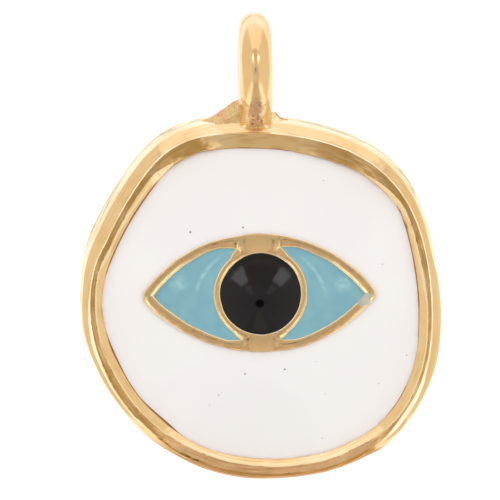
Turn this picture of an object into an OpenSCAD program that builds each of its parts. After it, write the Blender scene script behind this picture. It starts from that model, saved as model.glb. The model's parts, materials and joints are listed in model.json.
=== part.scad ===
// Eye charm: a cast metal body with a hanging loop and four enamel fills.
// Millimetres. The charm is drawn flat, with its back on z = 0 and the middle of
// its face over the origin, and is then laid down as it rests by itself: on the
// back of its loop and on its lower edge.

/* [Body] */
// Thickness from the flat back to the crest of the rim
body_t = 2.2; // [2:0.1:3]
// Thickness of the metal floor below the enamel
floor_t = 0.8; // [0.5:0.1:1]
// Drop of the rim's rounded outer shoulder, below the crest
shoulder_drop = 0.85; // [0.5:0.05:1]
// Drop of the rim's rounded inner lip, below the crest
lip_drop = 0.45; // [0.3:0.05:0.6]
// Distance from the enamel's edge out to the crest
crest_in = 0.58; // [0.4:0.02:0.7]
// Size of the rounded edge round the back
back_r = 0.2; // [0.1:0.05:0.4]

/* [Eye] */
// Length of the eye over its wire, between the rounded corners
eye_w = 11.4; // [10.8:0.1:11.8]
// Length at which the arcs of the two lids would meet in sharp corners
lids_w = 11.9; // [11.8:0.1:12.4]
// Height of the upper lid's wire above the line through the corners
lid_rise = 3; // [2.8:0.02:3.2]
// Depth of the lower lid's wire below the same line
lid_drop = 2.94; // [2.8:0.02:3.2]
// Length of the blue fields together, between their sharp corners
blue_w = 10.5; // [9.8:0.1:10.6]
// Width of the lids' wires
lid_wire = 0.45; // [0.35:0.01:0.55]
// Width of the ring round the pupil
ring_wire = 0.36; // [0.3:0.01:0.4]
// Diameter of the pupil
pupil_d = 4; // [3.6:0.1:4.2]
// Width of the metal that joins the pupil's ring to the lids
bridge_w = 2.1; // [1:0.1:2.4]
// Height of the wires' tops above the flat back
wire_top = 2.05; // [1.9:0.05:2.2]

/* [Enamel] */
// Level of the white enamel where it meets the rim
enamel_edge = 1.76; // [1.5:0.02:1.8]
// Rise of the enamel's dome from the rim to the middle
enamel_rise = 0.26; // [0.1:0.02:0.3]
// Rise of the pupil's own dome
pupil_rise = 0.3; // [0.1:0.05:0.5]
// Gap between an enamel and the metal of its cell
fit_gap = 0.02; // [0.01:0.01:0.05]

/* [Loop] */
// Outer diameter of the hanging loop
loop_d = 6; // [5:0.1:6.4]
// Thickness of the loop's wire
loop_wire = 1.7; // [1.4:0.1:1.9]
// Height of the loop's centre above the middle of the face
loop_up = 11.35; // [11:0.05:11.6]
// Turn of the loop about the charm's length, in degrees
loop_twist = 3; // [0:1:5]
// Lean of the loop to the left, in degrees
loop_lean = 1.2; // [0:0.2:3]

/* [Hidden] */
$fn = 96;

// Each outline is a closed chain of arcs that run on smoothly into each other,
// counterclockwise. A row is one arc. A radius of 0 marks the two arcs whose radii
// are worked out so that the outline closes.
TURN = 0;
RADIUS = 1;

// Columns of the rim's section
OUT = 0;
HEIGHT = 1;

// Outer outline, from the lower right side
rim_arcs = [
    [20, 0], [52, 7], [24, 14.5], [50, 6.8], [24, 12], [32, 8],
    [25, 10.5], [30, 8.5], [28, 0], [40, 7.2], [35, 8]
];
rim_start = [9.02, -1.98];

// Inner outline, where the white enamel meets the rim
field_arcs = [
    [20, 0], [53, 5.5], [22, 14], [52, 5.6], [16, 13.5], [47, 6.3],
    [22, 10.5], [28, 7.3], [27, 0], [40, 6.2], [33, 7.2]
];
field_start = [7.86, -1.86];
first_normal = -5;

// Step between the outlines' points, and between a rounded edge's, in degrees
normal_step = 4.5;
edge_step = 15;

// The eye's corners lie on one line, a little above the middle of the face
eye_at = [-0.06, 0.1];
pupil_at = [0, 0.08];
ring_r = pupil_d / 2 + ring_wire;
bridge_x = 0.08;

// The dome of the white and blue enamels is drawn over this radius and reaches past it
dome_edge_r = 7.8;
dome_reach = 11;

// Place of the loop across the charm
loop_x = -0.28;

// Solder web between the loop and the rim on the left, and its fillet on the right
web_t = 1.3;
web_left = [[-2.65, 8.95], [-1.8, 9.25], [-1.05, 9.8], [-0.5, 9.8], [-0.5, 8.4], [-2.4, 8.4]];
web_right = [[1.4, 8.85], [0.85, 9.1], [0.5, 9.45], [0.2, 9.45], [0.2, 8.4], [1.3, 8.4]];

function dir(a) = [cos(a), sin(a)];
function sum(list) = [for (item = list) 1] * list;

// Direction of the outline's outward normal where each arc begins, and where the last ends
function normals(arcs) = [
    for (i = [0 : len(arcs)])
        first_normal + (i == 0 ? 0 : sum([for (j = [0 : i - 1]) arcs[j][TURN]]))
];
function swing(n, i) = dir(n[i + 1]) - dir(n[i]);

// Radii of the arcs, with the two free ones solved for
function radii(arcs) =
    let (
        n = normals(arcs),
        free = [for (i = [0 : len(arcs) - 1]) if (arcs[i][RADIUS] == 0) i],
        a = swing(n, free[0]),
        b = swing(n, free[1]),
        gap = -sum([for (i = [0 : len(arcs) - 1]) arcs[i][RADIUS] * swing(n, i)])
    )
    [for (i = [0 : len(arcs) - 1])
        i == free[0] ? cross(gap, b) / cross(a, b)
        : i == free[1] ? cross(a, gap) / cross(a, b)
        : arcs[i][RADIUS]
    ];

// Points where the arcs meet
function joints(arcs, start) =
    let (n = normals(arcs), r = radii(arcs))
    [for (i = 0, p = start; i < len(arcs); p = p + r[i] * swing(n, i), i = i + 1) p];

// Point of the outline where its outward normal has the direction a, taken in by inset
function at_normal(arcs, start, a, inset = 0) =
    let (n = normals(arcs), r = radii(arcs), p = joints(arcs, start))
    [for (i = [0 : len(arcs) - 1]) if (n[i] <= a && n[i + 1] > a)
        p[i] - r[i] * dir(n[i]) + (r[i] - inset) * dir(a)
    ][0];

function outline(arcs, start, inset = 0) =
    [for (a = [first_normal : normal_step : first_normal + 360 - normal_step / 2])
        at_normal(arcs, start, a, inset)
    ];

// Section of the metal from the middle of the floor, over the rim, to the middle of
// the back. A row is [distance out from the enamel's edge, height], for a rim w wide.
function rim_section(w) = concat(
    [[0, floor_t]],
    [for (a = [0 : edge_step : 90])
        [crest_in * (1 - cos(a)), body_t - lip_drop * (1 - sin(a))]
    ],
    [for (a = [edge_step : edge_step : 90])
        [crest_in + (w - crest_in) * sin(a), body_t - shoulder_drop * (1 - cos(a))]
    ],
    [for (a = [0 : 2 * edge_step : 90])
        [w - back_r * (1 - cos(a)), back_r * (1 - sin(a))]
    ]
);

// How far the loop makes the charm lean when it lies on its back
loop_r = loop_d / 2;
foot = at_normal(rim_arcs, rim_start, 270);
loop_from_foot = [loop_up - foot.y - back_r, body_t / 2 - back_r];
rest_tilt = asin((loop_r - back_r) / norm(loop_from_foot)) - atan2(loop_from_foot.y, loop_from_foot.x);
rest_lift = back_r - (foot.y + back_r) * sin(rest_tilt) - back_r * cos(rest_tilt);
loop_end = loop_up * cos(rest_tilt) - body_t / 2 * sin(rest_tilt) + loop_r;
foot_end = foot.y * cos(rest_tilt) - (body_t - shoulder_drop) * sin(rest_tilt);

module at_rest() {
    translate([0, -(loop_end + foot_end) / 2, rest_lift]) rotate([rest_tilt, 0, 0]) children();
}

// Dished body: one ring of points for each row of the section, closed by the flat
// floor and the flat back
module dish() {
    outer = outline(rim_arcs, rim_start);
    inner = outline(field_arcs, field_start);
    n = len(outer);
    rows = len(rim_section(1));
    points = [for (row = [0 : rows - 1], k = [0 : n - 1])
        let (
            across = outer[k] - inner[k],
            s = rim_section(norm(across))[row],
            p = inner[k] + across * s[OUT] / norm(across)
        )
        [p.x, p.y, s[HEIGHT]]
    ];
    sides = [for (row = [0 : rows - 2], k = [0 : n - 1])
        let (a = row * n + k, b = row * n + (k + 1) % n)
        each [[a, b, b + n], [a, b + n, a + n]]
    ];
    floor_face = [for (k = [n - 1 : -1 : 0]) k];
    back_face = [for (k = [0 : n - 1]) (rows - 1) * n + k];
    polyhedron(points, concat([floor_face, back_face], sides));
}

// Radius of the arc that is chord long and rises by rise
function arc_r(chord, rise) = (chord * chord / 4 + rise * rise) / (2 * rise);

// Lens between two lids that are arcs of circles, taken in by inset
module lens(length, rise, drop, inset) {
    upper_r = arc_r(length, rise);
    lower_r = arc_r(length, drop);
    translate(eye_at) intersection() {
        translate([0, rise - upper_r]) circle(upper_r - inset);
        translate([0, lower_r - drop]) circle(lower_r - inset);
    }
}

// The wire's outer edge, grown by margin: the lens of the lids with rounded corners
module eye_outline(margin) {
    intersection() {
        lens(lids_w, lid_rise, lid_drop, -margin);
        translate(eye_at) circle(eye_w / 2 + margin);
    }
}

// The wire's inner edge, taken in by margin
module eye_opening(margin) {
    lens(blue_w, lid_rise - lid_wire, lid_drop - lid_wire, margin);
}

// Metal between the pupil's ring and the lids
module bridge(margin) {
    translate([bridge_x - bridge_w / 2 - margin, eye_at.y - lid_drop])
        square([bridge_w + 2 * margin, lid_drop + lid_rise]);
}

module wires() {
    translate([0, 0, floor_t / 2]) linear_extrude(wire_top - floor_t / 2) {
        difference() {
            eye_outline(0);
            eye_opening(0);
        }
        difference() {
            union() {
                translate(pupil_at) circle(ring_r);
                intersection() {
                    bridge(0);
                    eye_outline(0);
                }
            }
            translate(pupil_at) circle(pupil_d / 2);
        }
    }
}

module loop() {
    translate([loop_x, loop_up, body_t / 2]) rotate([0, loop_twist, loop_lean]) rotate([0, 90, 0])
        rotate_extrude() translate([loop_r - loop_wire / 2, 0]) circle(loop_wire / 2);
}

module webs() {
    translate([0, 0, (body_t - web_t) / 2]) linear_extrude(web_t) {
        polygon(web_left);
        polygon(web_right);
    }
}

// Room below an enamel's domed top: a disc of radius reach whose top stands at edge_z
// at the radius edge_r, and rises by rise in the middle
module dome(edge_z, rise, edge_r, reach) {
    dome_r = arc_r(2 * edge_r, rise);
    rotate_extrude() intersection() {
        translate([0, edge_z + rise - dome_r]) circle(dome_r, $fn = 1440);
        translate([0, floor_t + fit_gap]) square([reach, body_t]);
    }
}

module blue_field(side) {
    intersection() {
        translate([0, 0, floor_t + fit_gap]) linear_extrude(body_t) difference() {
            eye_opening(fit_gap);
            translate(pupil_at) circle(ring_r + fit_gap);
            bridge(fit_gap);
            translate([side > 0 ? -eye_w : 0, -eye_w / 2]) square(eye_w);
        }
        dome(enamel_edge, enamel_rise, dome_edge_r, dome_reach);
    }
}

module metal_body() {
    color("goldenrod") at_rest() {
        dish();
        wires();
        loop();
        webs();
    }
}

module white_enamel() {
    color("whitesmoke") at_rest() difference() {
        intersection() {
            translate([0, 0, floor_t + fit_gap]) linear_extrude(body_t)
                polygon(outline(field_arcs, field_start, fit_gap));
            dome(enamel_edge, enamel_rise, dome_edge_r, dome_reach);
        }
        linear_extrude(2 * body_t) eye_outline(fit_gap);
    }
}

module blue_enamel_left() {
    color("cadetblue") at_rest() blue_field(-1);
}

module blue_enamel_right() {
    color("cadetblue") at_rest() blue_field(1);
}

module pupil_enamel() {
    fill_r = pupil_d / 2 - fit_gap;
    color("black") at_rest() translate(pupil_at) dome(wire_top - fit_gap, pupil_rise, fill_r, fill_r);
}

metal_body();
white_enamel();
blue_enamel_left();
blue_enamel_right();
pupil_enamel();
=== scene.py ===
import bisect
import json
import math

import bmesh
import bpy
from mathutils import Matrix, Vector, noise


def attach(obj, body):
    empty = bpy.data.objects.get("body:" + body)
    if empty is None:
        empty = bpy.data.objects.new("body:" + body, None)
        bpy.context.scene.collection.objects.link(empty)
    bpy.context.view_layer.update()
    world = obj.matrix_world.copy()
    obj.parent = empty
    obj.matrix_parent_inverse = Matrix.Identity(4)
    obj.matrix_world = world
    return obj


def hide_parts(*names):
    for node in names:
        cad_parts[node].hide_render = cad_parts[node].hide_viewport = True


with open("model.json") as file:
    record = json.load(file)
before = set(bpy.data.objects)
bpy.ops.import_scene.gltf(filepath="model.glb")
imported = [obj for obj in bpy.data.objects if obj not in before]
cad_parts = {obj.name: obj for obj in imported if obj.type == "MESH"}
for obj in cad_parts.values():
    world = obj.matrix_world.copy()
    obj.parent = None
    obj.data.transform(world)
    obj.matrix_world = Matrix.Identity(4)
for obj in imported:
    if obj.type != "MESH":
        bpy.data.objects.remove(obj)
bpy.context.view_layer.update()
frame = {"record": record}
print("frame loaded")

mm = 0.001
overlap = 0.012  # how far an enamel runs into its metal, in mm
noise.seed_set(5)  # vector noise would otherwise differ from run to run

# The charm is drawn flat in millimetres, back on z = 0 and face up, and is laid down
# at the end as the CAD lies: the back mount gives the tilt and the place.
backMount = next(m for m in frame["record"]["mounts"] if m["name"] == "back")
backNormal = Vector(backMount["axis"])
restTilt = math.atan2(backNormal.y, -backNormal.z)
layDown = (
    Matrix.Translation(Vector(backMount["pos_m"]))
    @ Matrix.Rotation(restTilt, 4, "X")
    @ Matrix.Scale(mm, 4)
)


# Helpers for drawing outlines

def direction(degrees):
    turn = math.radians(degrees)
    return Vector((math.cos(turn), math.sin(turn)))


def bearing(point, centre):
    return math.degrees(math.atan2(point.y - centre.y, point.x - centre.x))


def smoothStep(low, high, value):
    t = min(max((value - low) / (high - low), 0), 1)  # low may be the larger
    return t * t * (3 - 2 * t)


def noiseAt(x, y, z):
    return noise.noise(Vector((x, y, z)))


def atHeight(points, height):
    return [Vector((p.x, p.y, height)) for p in points]


def arcRadius(chord, rise):
    return (chord * chord / 4 + rise * rise) / (2 * rise)


def arcPoints(centre, radius, start, end, count):
    return [centre + radius * direction(start + (end - start) * i / count) for i in range(count)]


def circlesMeet(centreA, radiusA, centreB, radiusB):
    # the two points where circles cross, the left one first
    gap = centreB - centreA
    far = gap.length
    along = (radiusA ** 2 - radiusB ** 2 + far ** 2) / (2 * far)
    off = math.sqrt(max(radiusA ** 2 - along ** 2, 0))
    unit = gap / far
    middle, across = centreA + unit * along, Vector((-unit.y, unit.x)) * off
    return sorted((middle + across, middle - across), key=lambda p: p.x)


def reachOut(start, ray, centre, radius):
    # how far a ray runs from inside a circle to its edge
    gap = start - centre
    b = gap.dot(ray)
    c = gap.length_squared - radius ** 2
    return -b + math.sqrt(max(b * b - c, 0))


class ArcChain:
    # A closed outline of arcs that run on smoothly. A row is (turn, radius), and the
    # two radii of 0 are worked out so that it closes.

    def __init__(self, rows, start, firstNormal):
        self.normals = [firstNormal]
        for turn, radius in rows:
            self.normals.append(self.normals[-1] + turn)
        swings = [direction(b) - direction(a) for a, b in zip(self.normals, self.normals[1:])]
        self.radii = [radius for turn, radius in rows]
        first, second = [i for i, radius in enumerate(self.radii) if radius == 0]
        gap = Vector((0, 0))
        for radius, swing in zip(self.radii, swings):
            gap -= radius * swing
        a, b = swings[first], swings[second]
        across = a.x * b.y - a.y * b.x
        self.radii[first] = (gap.x * b.y - gap.y * b.x) / across
        self.radii[second] = (a.x * gap.y - a.y * gap.x) / across
        self.joints = [Vector(start)]
        for radius, swing in zip(self.radii, swings):
            self.joints.append(self.joints[-1] + radius * swing)

    def at(self, normal):
        # the point that faces one way, from the first normal up to a whole turn more
        i = min(bisect.bisect_right(self.normals, normal) - 1, len(self.radii) - 1)
        centre = self.joints[i] - self.radii[i] * direction(self.normals[i])
        return centre + self.radii[i] * direction(normal)


class PolarLine:
    # radius of a star-shaped loop in any direction from a point inside it

    def __init__(self, loop, centre):
        rows = sorted((bearing(p, centre) % 360, (p - centre).length) for p in loop)
        self.angles = [rows[-1][0] - 360] + [a for a, r in rows] + [rows[0][0] + 360]
        self.reach = [rows[-1][1]] + [r for a, r in rows] + [rows[0][1]]
        self.centre = centre

    def at(self, angle):
        angle %= 360
        i = min(max(bisect.bisect_right(self.angles, angle), 1), len(self.angles) - 1)
        a, b = self.angles[i - 1], self.angles[i]
        t = (angle - a) / (b - a) if b > a else 0
        radius = self.reach[i - 1] * (1 - t) + self.reach[i] * t
        return self.centre + radius * direction(angle)


# Helpers for modelling

def deselectAll():
    if bpy.context.mode == "OBJECT":
        bpy.ops.object.select_all(action="DESELECT")


def startPiece(name):
    # takes up the object that the last operator added
    piece = bpy.context.object
    piece.name = name
    piece.data.name = name
    return piece


def ringFrom(name, points):
    # starts a piece from a circle whose points are drawn onto the first outline
    deselectAll()
    bpy.ops.mesh.primitive_circle_add(vertices=len(points), radius=5, fill_type="NOTHING")
    piece = startPiece(name)
    bpy.ops.object.mode_set(mode="EDIT")
    cage = bmesh.from_edit_mesh(piece.data)
    column = cage.verts.layers.int.new("column")
    cage.verts.layers.int.new("row")
    cage.verts.ensure_lookup_table()
    for i, v in enumerate(cage.verts):
        v[column] = i
        v.co = points[i]
        v.select = True
    cage.select_flush(True)
    bmesh.update_edit_mesh(piece.data)
    return piece


def addLoop(piece, points):
    # a second circle in the same mesh, selected alone
    bpy.ops.mesh.select_all(action="DESELECT")
    bpy.ops.mesh.primitive_circle_add(vertices=len(points), radius=5, fill_type="NOTHING")
    cage = bmesh.from_edit_mesh(piece.data)
    column = cage.verts.layers.int["column"]
    chosen = sorted((v for v in cage.verts if v.select), key=lambda v: v.index)
    for i, v in enumerate(chosen):
        v[column] = i
        v.co = points[i]
    bmesh.update_edit_mesh(piece.data)


def nextRing(piece, points):
    # extrudes the selected ring and draws it onto the next outline
    bpy.ops.mesh.extrude_edges_move()
    cage = bmesh.from_edit_mesh(piece.data)
    column, row = (cage.verts.layers.int[name] for name in ("column", "row"))
    for v in cage.verts:
        if v.select:
            v.co = points[v[column]]
            v[row] += 1
    bmesh.update_edit_mesh(piece.data)


def stackRings(name, rings):
    # a closed piece from rings that follow each other, with a lid on both ends
    piece = ringFrom(name, rings[0])
    bpy.ops.mesh.edge_face_add()
    bpy.ops.mesh.select_all(action="SELECT")
    for ring in rings[1:]:
        nextRing(piece, ring)
    bpy.ops.mesh.edge_face_add()
    return piece


def selectOpenEdges(piece, height):
    # the open edges that lie at one height
    bpy.ops.mesh.select_all(action="DESELECT")
    cage = bmesh.from_edit_mesh(piece.data)
    for edge in cage.edges:
        if edge.is_boundary and all(abs(v.co.z - height) < 1e-4 for v in edge.verts):
            edge.select_set(True)
    bmesh.update_edit_mesh(piece.data)


def endEdit(piece, smooth, shades=None):
    # shades holds a value for each ring and column, which the material reads
    bpy.ops.mesh.select_all(action="SELECT")
    bpy.ops.mesh.normals_make_consistent(inside=False)
    bpy.ops.object.mode_set(mode="OBJECT")
    layers = piece.data.attributes
    if shades:
        shade = layers.new("shade", "FLOAT", "POINT")
        column, row = layers["column"], layers["row"]
        for i in range(len(piece.data.vertices)):
            shade.data[i].value = shades[row.data[i].value][column.data[i].value]
    for name in ("column", "row"):
        if name in layers:
            layers.remove(layers[name])
    bpy.ops.object.shade_smooth_by_angle(angle=math.radians(smooth))


def finishPiece(piece, material, slot, *nodes):
    piece.data.transform(layDown)
    piece.data.materials.clear()
    piece.data.materials.append(material)
    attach(piece, "root")
    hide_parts(*nodes)
    print("made", piece.name, len(piece.data.polygons), "faces")


# Helpers for materials

class Painter:
    # short ways to add and link nodes

    def __init__(self, tree, shader=None):
        self.tree = tree
        self.shader = shader
        self.place = None

    def node(self, kind, **values):
        made = self.tree.nodes.new(kind)
        for key, value in values.items():
            setattr(made, key, value)
        return made

    def put(self, socket, value):
        if isinstance(value, bpy.types.NodeSocket):
            self.tree.links.new(value, socket)
        elif value is not None:
            socket.default_value = value

    def give(self, label, value):
        self.put(self.shader.inputs[label], value)

    def coordinates(self):
        if self.place is None:
            self.place = self.node("ShaderNodeTexCoord").outputs["Object"]
        return self.place

    def shade(self):
        # the value of painted light and shade, and of stains, that some meshes carry at each point, 0
        # where there is none
        return self.node("ShaderNodeAttribute", attribute_name="shade").outputs["Fac"]

    def math(self, operation, a, b=None, clamp=False):
        made = self.node("ShaderNodeMath", operation=operation, use_clamp=clamp)
        self.put(made.inputs[0], a)
        self.put(made.inputs[1], b)
        return made.outputs[0]

    def times(self, a, b):
        return self.math("MULTIPLY", a, b)

    def noise(self, size, detail=3, roughness=0.5):
        # size is the width of a blotch in millimetres
        made = self.node("ShaderNodeTexNoise")
        made.inputs["Scale"].default_value = 1 / (size * mm)
        made.inputs["Detail"].default_value = detail
        made.inputs["Roughness"].default_value = roughness
        self.put(made.inputs["Vector"], self.coordinates())
        return made.outputs["Fac"]

    def ramp(self, value, low, high, a=0.0, b=1.0):
        made = self.node("ShaderNodeMapRange", interpolation_type="SMOOTHSTEP")
        for label, number in zip(("From Min", "From Max", "To Min", "To Max"), (low, high, a, b)):
            made.inputs[label].default_value = number
        self.put(made.inputs["Value"], value)
        return made.outputs["Result"]

    def between(self, value, low, high, soft):
        # 1 from low to high, with soft ends
        rise = self.ramp(value, low - soft, low + soft)
        return self.times(rise, self.ramp(value, high - soft, high + soft, 1.0, 0.0))

    def mix(self, share, a, b):
        made = self.node("ShaderNodeMix", data_type="RGBA")
        self.put(made.inputs["Factor"], share)
        self.put(made.inputs["A"], a)
        self.put(made.inputs["B"], b)
        return made.outputs["Result"]

    def near(self, point, radius, soft):
        # 1 within radius of a point, in millimetres of the flat drawing
        made = self.node("ShaderNodeVectorMath", operation="DISTANCE")
        self.put(made.inputs[0], self.coordinates())
        made.inputs[1].default_value = layDown @ Vector(point)
        return self.ramp(made.outputs["Value"], radius * mm, (radius + soft) * mm, 1.0, 0.0)

    def bump(self, height, distance, strength=1.0, before=None):
        made = self.node("ShaderNodeBump")
        made.inputs["Strength"].default_value = strength
        made.inputs["Distance"].default_value = distance * mm
        self.put(made.inputs["Height"], height)
        self.put(made.inputs["Normal"], before)
        return made.outputs["Normal"]


def newMaterial(name, **sockets):
    material = bpy.data.materials.new(name)
    material.use_nodes = True
    shader = material.node_tree.nodes["Principled BSDF"]
    labels = {
        "color": "Base Color", "metallic": "Metallic", "roughness": "Roughness",
        "ior": "IOR", "specular": "Specular IOR Level",
    }
    for key, value in sockets.items():
        shader.inputs[labels[key]].default_value = value
    return material, Painter(material.node_tree, shader)


def rgb(red, green, blue):
    return (red, green, blue, 1)


studio = {
    "lean": 9.9,              # the camera's, from straight above to the lower edge
    "frame": 500,             # pixels across the photograph
    "middle": (260.5, 296),   # the charm's middle in the photograph, in pixels
    "pixel": 0.05,            # millimetres to a pixel
    "lens": 400,
    "sensor": 36,
    "aim": Vector((-0.525, -0.26, 2.0)),
}


def photoSpot(across, down, height=2.0):
    # a pixel of the photograph as a place on the charm's face
    x, y = studio["middle"]
    return Vector(((across - x) * studio["pixel"], (y - down) * studio["pixel"], height))


gold = {
    "base": rgb(0.98, 0.69, 0.355),
    "deep": rgb(0.96, 0.63, 0.295),
    # the next two are the colour of painted highlights and of the rim's painted shade
    "paintedHighlight": rgb(1.0, 0.84, 0.53),
    "stainAndShade": rgb(0.62, 0.36, 0.11),
    "red": rgb(0.86, 0.47, 0.27),
    "solder": rgb(0.78, 0.51, 0.30),
    "dark": rgb(0.16, 0.09, 0.04),
    # a darker gold for the wires' flat top and walls and their matt bridges
    "wireDark": rgb(0.67, 0.47, 0.22),
    "glazed": rgb(0.44, 0.47, 0.38),
    "glazedPale": rgb(0.54, 0.53, 0.43),
    "soft": rgb(0.98, 0.80, 0.52),
    "roughness": (0.10, 0.24),
}


def goldMaterial(
    name, mottle=0.0, stainAndShade=gold["stainAndShade"], paintedHighlight=gold["paintedHighlight"], glazed=(), dull=0.0, matt=()
):
    # The shade carried by the mesh paints light and shade into the gold: above 0 it is
    # pale as a painted highlight, down to -1 it takes the darker colour given (painted
    # shade on the rim, a darker top on the wires, the solder stain on the loop and its foot),
    # and at -2 it is dark. mottle is how much red speckle, pale painted glints and dark
    # pits there are where it isn't 0. glazed lists the places where cloudy enamel has run
    # over the metal, dull is how much rougher the places below 0 are, and matt lists places
    # that were left unpolished, which also take the darker colour.
    material, paint = newMaterial(name, metallic=1.0)
    shade = paint.shade()
    colour = paint.mix(paint.ramp(paint.noise(2.2), 0.42, 0.66), gold["base"], gold["deep"])
    colour = paint.mix(paint.ramp(shade, 0.0, 1.0), colour, paintedHighlight)
    colour = paint.mix(paint.ramp(shade, -1.0, 0.0, 1.0, 0.0), colour, stainAndShade)
    if mottle:
        share = paint.ramp(paint.math("ABSOLUTE", shade), 0.02, 0.25, 0.0, mottle)
        red = paint.ramp(paint.noise(0.28, 4, 0.6), 0.52, 0.68)
        colour = paint.mix(paint.times(red, share), colour, gold["red"])
        spark = paint.ramp(paint.noise(0.13, 3, 0.6), 0.60, 0.72)
        colour = paint.mix(paint.times(spark, share), colour, gold["paintedHighlight"])
        pit = paint.ramp(paint.noise(0.11, 3, 0.6), 0.64, 0.76)
        colour = paint.mix(paint.times(pit, share), colour, gold["dark"])
    colour = paint.mix(paint.ramp(shade, -2.0, -1.0, 1.0, 0.0), colour, gold["dark"])
    low, high = gold["roughness"]
    rough = paint.ramp(paint.noise(0.5, 5, 0.65), 0.35, 0.75, low, high + 0.12 * mottle)
    if dull:
        rough = paint.math("ADD", rough, paint.ramp(shade, -1.0, -0.2, dull, 0.0))
    for spot, radius, most in matt:
        here = paint.times(paint.near(spot, radius, 0.35), most)
        colour = paint.mix(here, colour, stainAndShade)
        rough = paint.math("MAXIMUM", rough, here)
    if glazed:
        cover = 0.0
        for spot, radius in glazed:
            cover = paint.math("MAXIMUM", cover, paint.near(spot, radius, 0.12))
        cloud = paint.ramp(paint.noise(0.5, 2), 0.35, 0.65)
        cloud = paint.mix(cloud, gold["glazed"], gold["glazedPale"])
        colour = paint.mix(cover, colour, cloud)
        paint.give("Metallic", paint.math("SUBTRACT", 1.0, cover))
    paint.give("Base Color", colour)
    paint.give("Roughness", rough)
    soft = paint.bump(paint.noise(0.9, 2), 0.02, 0.35)
    fine = paint.noise(0.16, 4, 0.6)
    fine = paint.bump(fine, 0.004 + 0.008 * mottle, 0.3 + 0.3 * mottle, soft)
    paint.give("Normal", fine)
    return material


# The metal body: rim, floor and back

rim = {
    "outerArcs": [
        (20, 0), (52, 7), (24, 14.5), (50, 6.8), (24, 12), (32, 8),
        (25, 10.5), (30, 8.5), (28, 0), (40, 7.2), (35, 8),
    ],
    "outerStart": (9.02, -1.98),
    "fieldArcs": [
        (20, 0), (53, 5.5), (22, 14), (52, 5.6), (16, 13.5), (47, 6.3),
        (22, 10.5), (28, 7.3), (27, 0), (40, 6.2), (33, 7.2),
    ],
    "fieldStart": (7.86, -1.86),
    "firstNormal": -5,
    "columns": 600,
    "cuts": (9, 5, 7, 4, 26),  # across the facet, step, band, bevel and flank
    "floor": 0.8,
    "wallMiddle": 1.3,
    "crest": 2.2,
    "backRound": 0.2,
    # slopes of the section's parts in degrees, rising outwards
    "facetSlope": 33,
    "facetLift": (14, 0.2),    # how much steeper it starts, and over what width
    "stepSlope": 57,
    "brightStep": 4,           # how much less that is where the step is wide and bright
    "bandSlope": 6,
    "topSlope": 27,            # the band's slope at the top of the charm
    "upperSlope": 12,          # and its least slope round the upper corners
    "flankSlope": -18,
    # how much steeper the flank gets before, at and after its roll, and at its foot
    "flankFalls": (20, 18, 8, 16),
    "bend": 0.016,
    # streaks that run with the rim: how fine, how fast they change and which pattern
    "slopeStreaks": (17, 0.11, 2.6),
    # the shade streaks are lines of painted highlight and painted shade
    "shadeStreaks": (24, 0.12, 9.1),
    # How the rim was worked by hand, by direction: the enamel's edge, the start and end
    # of the flat band, the inner step, the outer bevel, and the shift of the outline,
    # all in mm out from the field's line.
    "hand": [
        (-90, -0.01, 0.40, 0.77, 0.05, 0.07, -0.04),
        (-75, -0.05, 0.40, 0.77, 0.05, 0.09, -0.13),
        (-60, 0.00, 0.39, 0.77, 0.05, 0.12, -0.08),
        (-52, 0.07, 0.50, 0.85, 0.05, 0.09, 0.05),
        (-40, 0.10, 0.64, 0.75, 0.07, 0.21, 0.06),
        (-28, 0.10, 0.61, 0.73, 0.08, 0.20, 0.05),
        (-15, 0.07, 0.53, 0.66, 0.08, 0.11, 0.01),
        (0, -0.06, 0.42, 0.60, 0.07, 0.07, -0.06),
        (10, -0.10, 0.29, 0.56, 0.21, 0.07, -0.14),
        (20, -0.07, 0.28, 0.54, 0.24, 0.07, -0.07),
        (30, 0.02, 0.32, 0.57, 0.24, 0.07, 0.00),
        (40, 0.00, 0.23, 0.59, 0.18, 0.07, 0.13),
        (50, -0.02, 0.10, 0.62, 0.06, 0.07, 0.15),
        (60, -0.02, 0.02, 0.64, 0.02, 0.07, 0.14),
        (70, -0.08, -0.04, 0.69, 0.02, 0.07, 0.12),
        (80, -0.14, -0.10, 0.61, 0.02, 0.07, 0.05),
        (90, -0.22, -0.18, 0.51, 0.02, 0.07, 0.00),
        (100, -0.19, -0.15, 0.53, 0.02, 0.07, -0.02),
        (110, -0.07, -0.03, 0.64, 0.02, 0.07, 0.07),
        (120, -0.03, 0.03, 0.69, 0.02, 0.07, 0.12),
        (128, -0.02, 0.15, 0.67, 0.06, 0.07, 0.08),
        (137, -0.10, 0.27, 0.60, 0.17, 0.07, 0.02),
        (148, -0.15, 0.24, 0.52, 0.22, 0.07, -0.06),
        (160, -0.10, 0.28, 0.57, 0.18, 0.07, 0.04),
        (170, 0.00, 0.42, 0.64, 0.07, 0.07, 0.00),
        (180, 0.09, 0.45, 0.68, 0.09, 0.08, -0.06),
        (192, 0.08, 0.49, 0.74, 0.08, 0.15, 0.03),
        (205, 0.03, 0.55, 0.84, 0.08, 0.17, 0.04),
        (218, 0.12, 0.60, 0.94, 0.07, 0.11, 0.04),
        (228, 0.00, 0.60, 0.96, 0.05, 0.10, 0.05),
        (240, 0.10, 0.50, 0.95, 0.05, 0.10, -0.01),
        (252, 0.08, 0.44, 0.88, 0.05, 0.07, 0.06),
        (262, 0.02, 0.41, 0.81, 0.05, 0.07, 0.05),
    ],
}
outerLine = ArcChain(rim["outerArcs"], rim["outerStart"], rim["firstNormal"])
fieldLine = ArcChain(rim["fieldArcs"], rim["fieldStart"], rim["firstNormal"])
columnNormals = [rim["firstNormal"] + 360 * k / rim["columns"] for k in range(rim["columns"])]


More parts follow.
